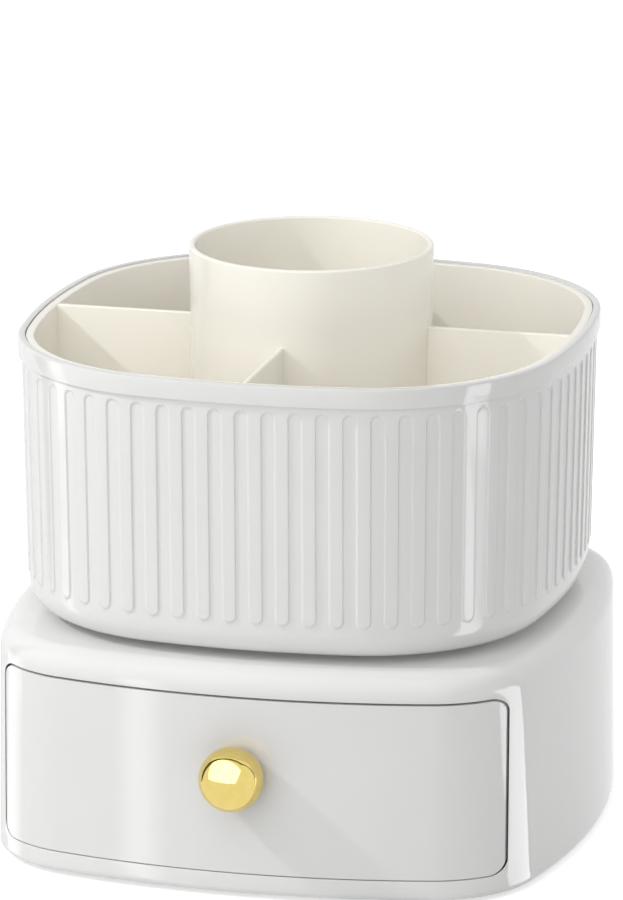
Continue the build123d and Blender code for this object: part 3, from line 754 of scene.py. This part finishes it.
def buildWorld():
    # bright walls and a duller ceiling light the object; mirrors and the camera see plain white
    world = bpy.data.worlds.new("studioWorld")
    bpy.context.scene.world = world
    world.use_nodes = True
    tree = world.node_tree
    tree.nodes.clear()
    rays = addNode(tree, "ShaderNodeLightPath")
    seen = addNode(tree, "ShaderNodeMath", {"operation": "MAXIMUM"},
                   {0: rays.outputs["Is Camera Ray"], 1: rays.outputs["Is Glossy Ray"]})
    through = addNode(tree, "ShaderNodeMath", {"operation": "MAXIMUM"},
                      {0: seen.outputs[0], 1: rays.outputs["Is Transmission Ray"]})
    direct = addNode(tree, "ShaderNodeMath", {"operation": "SUBTRACT", "use_clamp": True},
                     {0: through.outputs[0], 1: rays.outputs["Diffuse Depth"]})
    way = addNode(tree, "ShaderNodeTexCoord").outputs["Generated"]
    upward = addNode(tree, "ShaderNodeSeparateXYZ", None, {"Vector": way})
    height = addNode(tree, "ShaderNodeMapRange", {"To Min": studio["horizon"], "To Max": studio["zenith"]},
                     {"Value": upward.outputs["Z"]})
    toRight = addNode(tree, "ShaderNodeVectorMath",
                      {"operation": "DOT_PRODUCT", 1: wayOut(studio["dropAzimuth"], 0.0)}, {0: way})
    drop = addNode(tree, "ShaderNodeMapRange", {"To Min": 1.0, "To Max": 1.0 - studio["rightDrop"]},
                   {"Value": toRight.outputs["Value"]})
    level = addNode(tree, "ShaderNodeMath", {"operation": "MULTIPLY"},
                    {0: height.outputs["Result"], 1: drop.outputs["Result"]})
    soft = addNode(tree, "ShaderNodeBackground", {"Color": linear(studio["skyTint"])},
                   {"Strength": level.outputs["Value"]})
    plain = addNode(tree, "ShaderNodeBackground", {"Color": white, "Strength": studio["mirrored"]})
    mix = addNode(tree, "ShaderNodeMixShader", None,
                  {0: direct.outputs[0], 1: soft.outputs[0], 2: plain.outputs[0]})
    addNode(tree, "ShaderNodeOutputWorld", None, {"Surface": mix.outputs[0]})


buildFloor()
buildWorld()


# lamps, none of which shows in reflections; azimuth, elevation, distance, size and power
lamps = {
    "keyLamp": (-66.0, 39.0, 1.6, (0.07, 0.07), 8.0),
    "frontFill": (-9.0, 32.0, 1.3, (1.3, 1.3), 6.2),
    "rightBackFill": (122.0, 10.0, 1.2, (0.5, 0.6), 2.6),
    "topFill": (0.0, 86.0, 1.3, (0.9, 0.9), 1.0),
    "gapFill": (0.0, 70.0, 1.3, (0.6, 0.6), 2.1),
    "ivoryFill": (30.0, 38.0, 1.3, (0.8, 0.8), 3.0),
}
lit = {"gapFill": [baseShell], "ivoryFill": [linerPiece, cupPiece] + vanes}
# the tub doesn't block this lamp, so its shadow on the base is as thin as in a brightly lit studio
blocking = {"gapFill": [baseShell, drawerFront]}


def collectionOf(name, pieces):
    made = bpy.data.collections.new(name)
    for piece in pieces:
        made.objects.link(piece)
    return made


def addLamp(name):
    azimuth, elevation, distance, size, power = lamps[name]
    data = bpy.data.lights.new(name, "AREA")
    data.shape = "RECTANGLE"
    data.size, data.size_y = size
    data.energy = power
    lamp = bpy.data.objects.new(name, data)
    way = wayOut(azimuth, elevation)
    lamp.location = Vector((0, axisY, studio["middle"])) + way * distance
    lamp.rotation_mode = "QUATERNION"
    lamp.rotation_quaternion = way.to_track_quat("Z", "Y")
    lamp.visible_glossy = False
    if name in lit:
        lamp.light_linking.receiver_collection = collectionOf(name + "Lit", lit[name])
    if name in blocking:
        lamp.light_linking.blocker_collection = collectionOf(name + "Blocking", blocking[name])
    bpy.context.scene.collection.objects.link(lamp)


for lampName in lamps:
    addLamp(lampName)


# cards, which only show in the reflections of the pieces that they are for; a side card stands beside
# the object: its distance to the side, then the level and the span from front to back of both its ends
lowerPieces = [baseShell, drawerFront]
sideCards = {
    "rightStrip": (0.4, (-0.2, -0.180, -0.078), (0.16, -0.182, -0.080), 3.6, [tubShell]),
    "rightLowStrip": (0.4, (-0.16, 0.010, 0.240), (0.06, -0.155, 0.000), 3.6, lowerPieces),
    "leftStrip": (-0.4, (-0.2, -0.115, -0.041), (0.16, -0.115, -0.041), 1.6, [tubShell]),
    "leftLowStrip": (-0.4, (-0.16, -0.060, 0.110), (0.06, -0.095, 0.070), 1.4, lowerPieces),
}
# a soft glow low on the left of the base: its two ends across, low and high, how far it stands in
# front, its strength, and where across it is brightest with the distance over which it fades
lowGlow = {"left": -0.40, "right": -0.25, "low": -0.25, "high": 0.05, "ahead": -0.6, "strength": 2.4,
           "feather": (-0.325, 0.07)}
softbox = {"azimuth": -20.0, "elevation": 40.0, "distance": 1.3, "width": 3.6, "height": 2.0,
           "strength": 2.2}
mirrorOnly = ["camera", "diffuse", "shadow", "transmission"]


def addCard(name, corners, strength, receivers, feather=None):
    # corners in metres about the axis
    bm = bmesh.new()
    bm.faces.new([bm.verts.new((x, y + axisY, z)) for x, y, z in corners])
    material, tree = newMaterial(name + "Face")
    rays = addNode(tree, "ShaderNodeLightPath")
    direct = addNode(tree, "ShaderNodeMath", {"operation": "LESS_THAN", 1: 0.5},
                     {0: rays.outputs["Diffuse Depth"]})
    power = addNode(tree, "ShaderNodeMath", {"operation": "MULTIPLY", 1: strength}, {0: direct.outputs[0]})
    if feather:
        # the strength fades across the card's width, from its middle to both sides
        middle, half = feather
        split = addNode(tree, "ShaderNodeSeparateXYZ", None,
                        {"Vector": addNode(tree, "ShaderNodeTexCoord").outputs["Object"]})
        off = addNode(tree, "ShaderNodeMath", {"operation": "SUBTRACT", 1: middle}, {0: split.outputs["X"]})
        away = addNode(tree, "ShaderNodeMath", {"operation": "ABSOLUTE"}, {0: off.outputs[0]})
        fade = addNode(tree, "ShaderNodeMapRange",
                       {"interpolation_type": "SMOOTHSTEP", "From Min": 0.0, "From Max": half,
                        "To Min": strength, "To Max": 0.0}, {"Value": away.outputs[0]})
        tree.links.new(fade.outputs["Result"], power.inputs[1])
    glow = addNode(tree, "ShaderNodeEmission", {"Color": white}, {"Strength": power.outputs[0]})
    clear = addNode(tree, "ShaderNodeBsdfTransparent")
    both = addNode(tree, "ShaderNodeAddShader", None, {0: glow.outputs[0], 1: clear.outputs[0]})
    addNode(tree, "ShaderNodeOutputMaterial", None, {"Surface": both.outputs[0]})
    card = stageSheet(bm, name, material, mirrorOnly)
    card.light_linking.receiver_collection = collectionOf(name + "Lit", receivers)


def facing(azimuth, elevation, distance, width, height):
    # corners of a card square to a direction
    way = wayOut(azimuth, elevation)
    turn = way.to_track_quat("Z", "Y").to_matrix()
    middle = way * distance + Vector((0, 0, studio["middle"]))
    return [middle + turn @ Vector((x * width / 2, y * height / 2, 0))
            for x, y in ((-1, -1), (1, -1), (1, 1), (-1, 1))]


for cardName, (x, low, high, strength, pieces) in sideCards.items():
    addCard(cardName, [(x, low[1], low[0]), (x, low[2], low[0]), (x, high[2], high[0]), (x, high[1], high[0])],
            strength, pieces)
addCard("lowGlow", [(lowGlow[side], lowGlow["ahead"], lowGlow[level]) for side, level in (
    ("left", "low"), ("right", "low"), ("right", "high"), ("left", "high"))],
    lowGlow["strength"], lowerPieces, lowGlow["feather"])
addCard("softbox", facing(softbox["azimuth"], softbox["elevation"], softbox["distance"],
                          softbox["width"], softbox["height"]), softbox["strength"], [ballKnob])

# a dark band that the gold mirrors; its places are the angle off the camera's line, the roll about
# it, and half the band's width, all in degrees
flag = {
    "centre": (0, -0.118, 0.045), "distance": 1.25, "glow": 0.1,
    "places": [(124, 186, 1), (122, 176, 8), (113, 155, 8), (98, 130, 5), (84, 110, 3), (73, 80, 3),
               (70, 58, 3), (80, 38, 1.5), (92, 12, 2.5), (96, -6, 1)],
}


def buildFlag():
    azimuth = radians(photoCamera["azimuth"])
    right = Vector((cos(azimuth), sin(azimuth), 0))
    up = toCamera.cross(right)
    bm = bmesh.new()
    rails = []
    for polar, roll, half in flag["places"]:
        around = right * cos(radians(roll)) + up * sin(radians(roll))
        rails.append([bm.verts.new(Vector(flag["centre"]) + flag["distance"]
                                   * (toCamera * cos(radians(angle)) + around * sin(radians(angle))))
                      for angle in (polar - half, polar + half)])
    for (a, b), (c, d) in zip(rails, rails[1:]):
        bm.faces.new((a, b, d, c))
    material, tree = newMaterial("studioFlagFace")
    dark = addNode(tree, "ShaderNodeEmission", {"Color": white, "Strength": flag["glow"]})
    addNode(tree, "ShaderNodeOutputMaterial", None, {"Surface": dark.outputs[0]})
    stageSheet(bm, "studioFlag", material, mirrorOnly)


buildFlag()
buildCamera()
bpy.context.scene.view_settings.view_transform = "Standard"
print("studio ready")

low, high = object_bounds()
